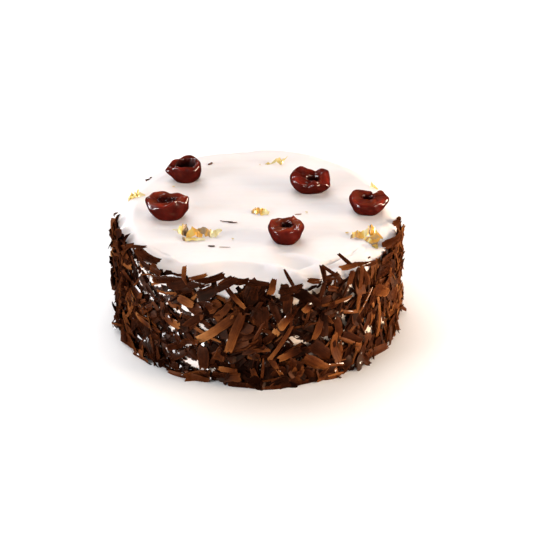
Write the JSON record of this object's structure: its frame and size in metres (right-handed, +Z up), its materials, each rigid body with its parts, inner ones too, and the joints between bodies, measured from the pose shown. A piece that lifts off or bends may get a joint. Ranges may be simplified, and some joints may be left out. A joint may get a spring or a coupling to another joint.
{
  "type": "black forest cake",
  "caption": "Round black forest cake: smooth cream top with halved syrup cherries and crumpled gold leaf, and chocolate shavings all round its wall.",
  "frame": {"origin": "middle of the flat base, on the surface the cake stands on", "axes": "+Z up out of the top, -Y towards the viewer (the side with the front cherry), +X to the viewer's right"},
  "size_m": [0.164, 0.1642, 0.0738],
  "materials": {
    "chocolate": "dark chocolate shavings with a waxy sheen, paler brown where the shaved side shows",
    "cream": "warm white whipped cream, spread with a knife",
    "cherry": "wet, glossy dark red syrup cherry",
    "gold": "bright crumpled gold leaf"
  },
  "bodies": {
    "root": {"cake": "chocolate", "cherry_front": "cherry", "cherry_left": "cherry", "cherry_back_left": "cherry", "cherry_back_right": "cherry", "cherry_right": "cherry", "gold_leaf_front": "gold", "gold_leaf_right": "gold", "gold_leaf_centre": "gold", "gold_leaf_left": "gold", "gold_leaf_back": "gold", "gold_leaf_back_right": "gold"}
  },
  "joints": []
}
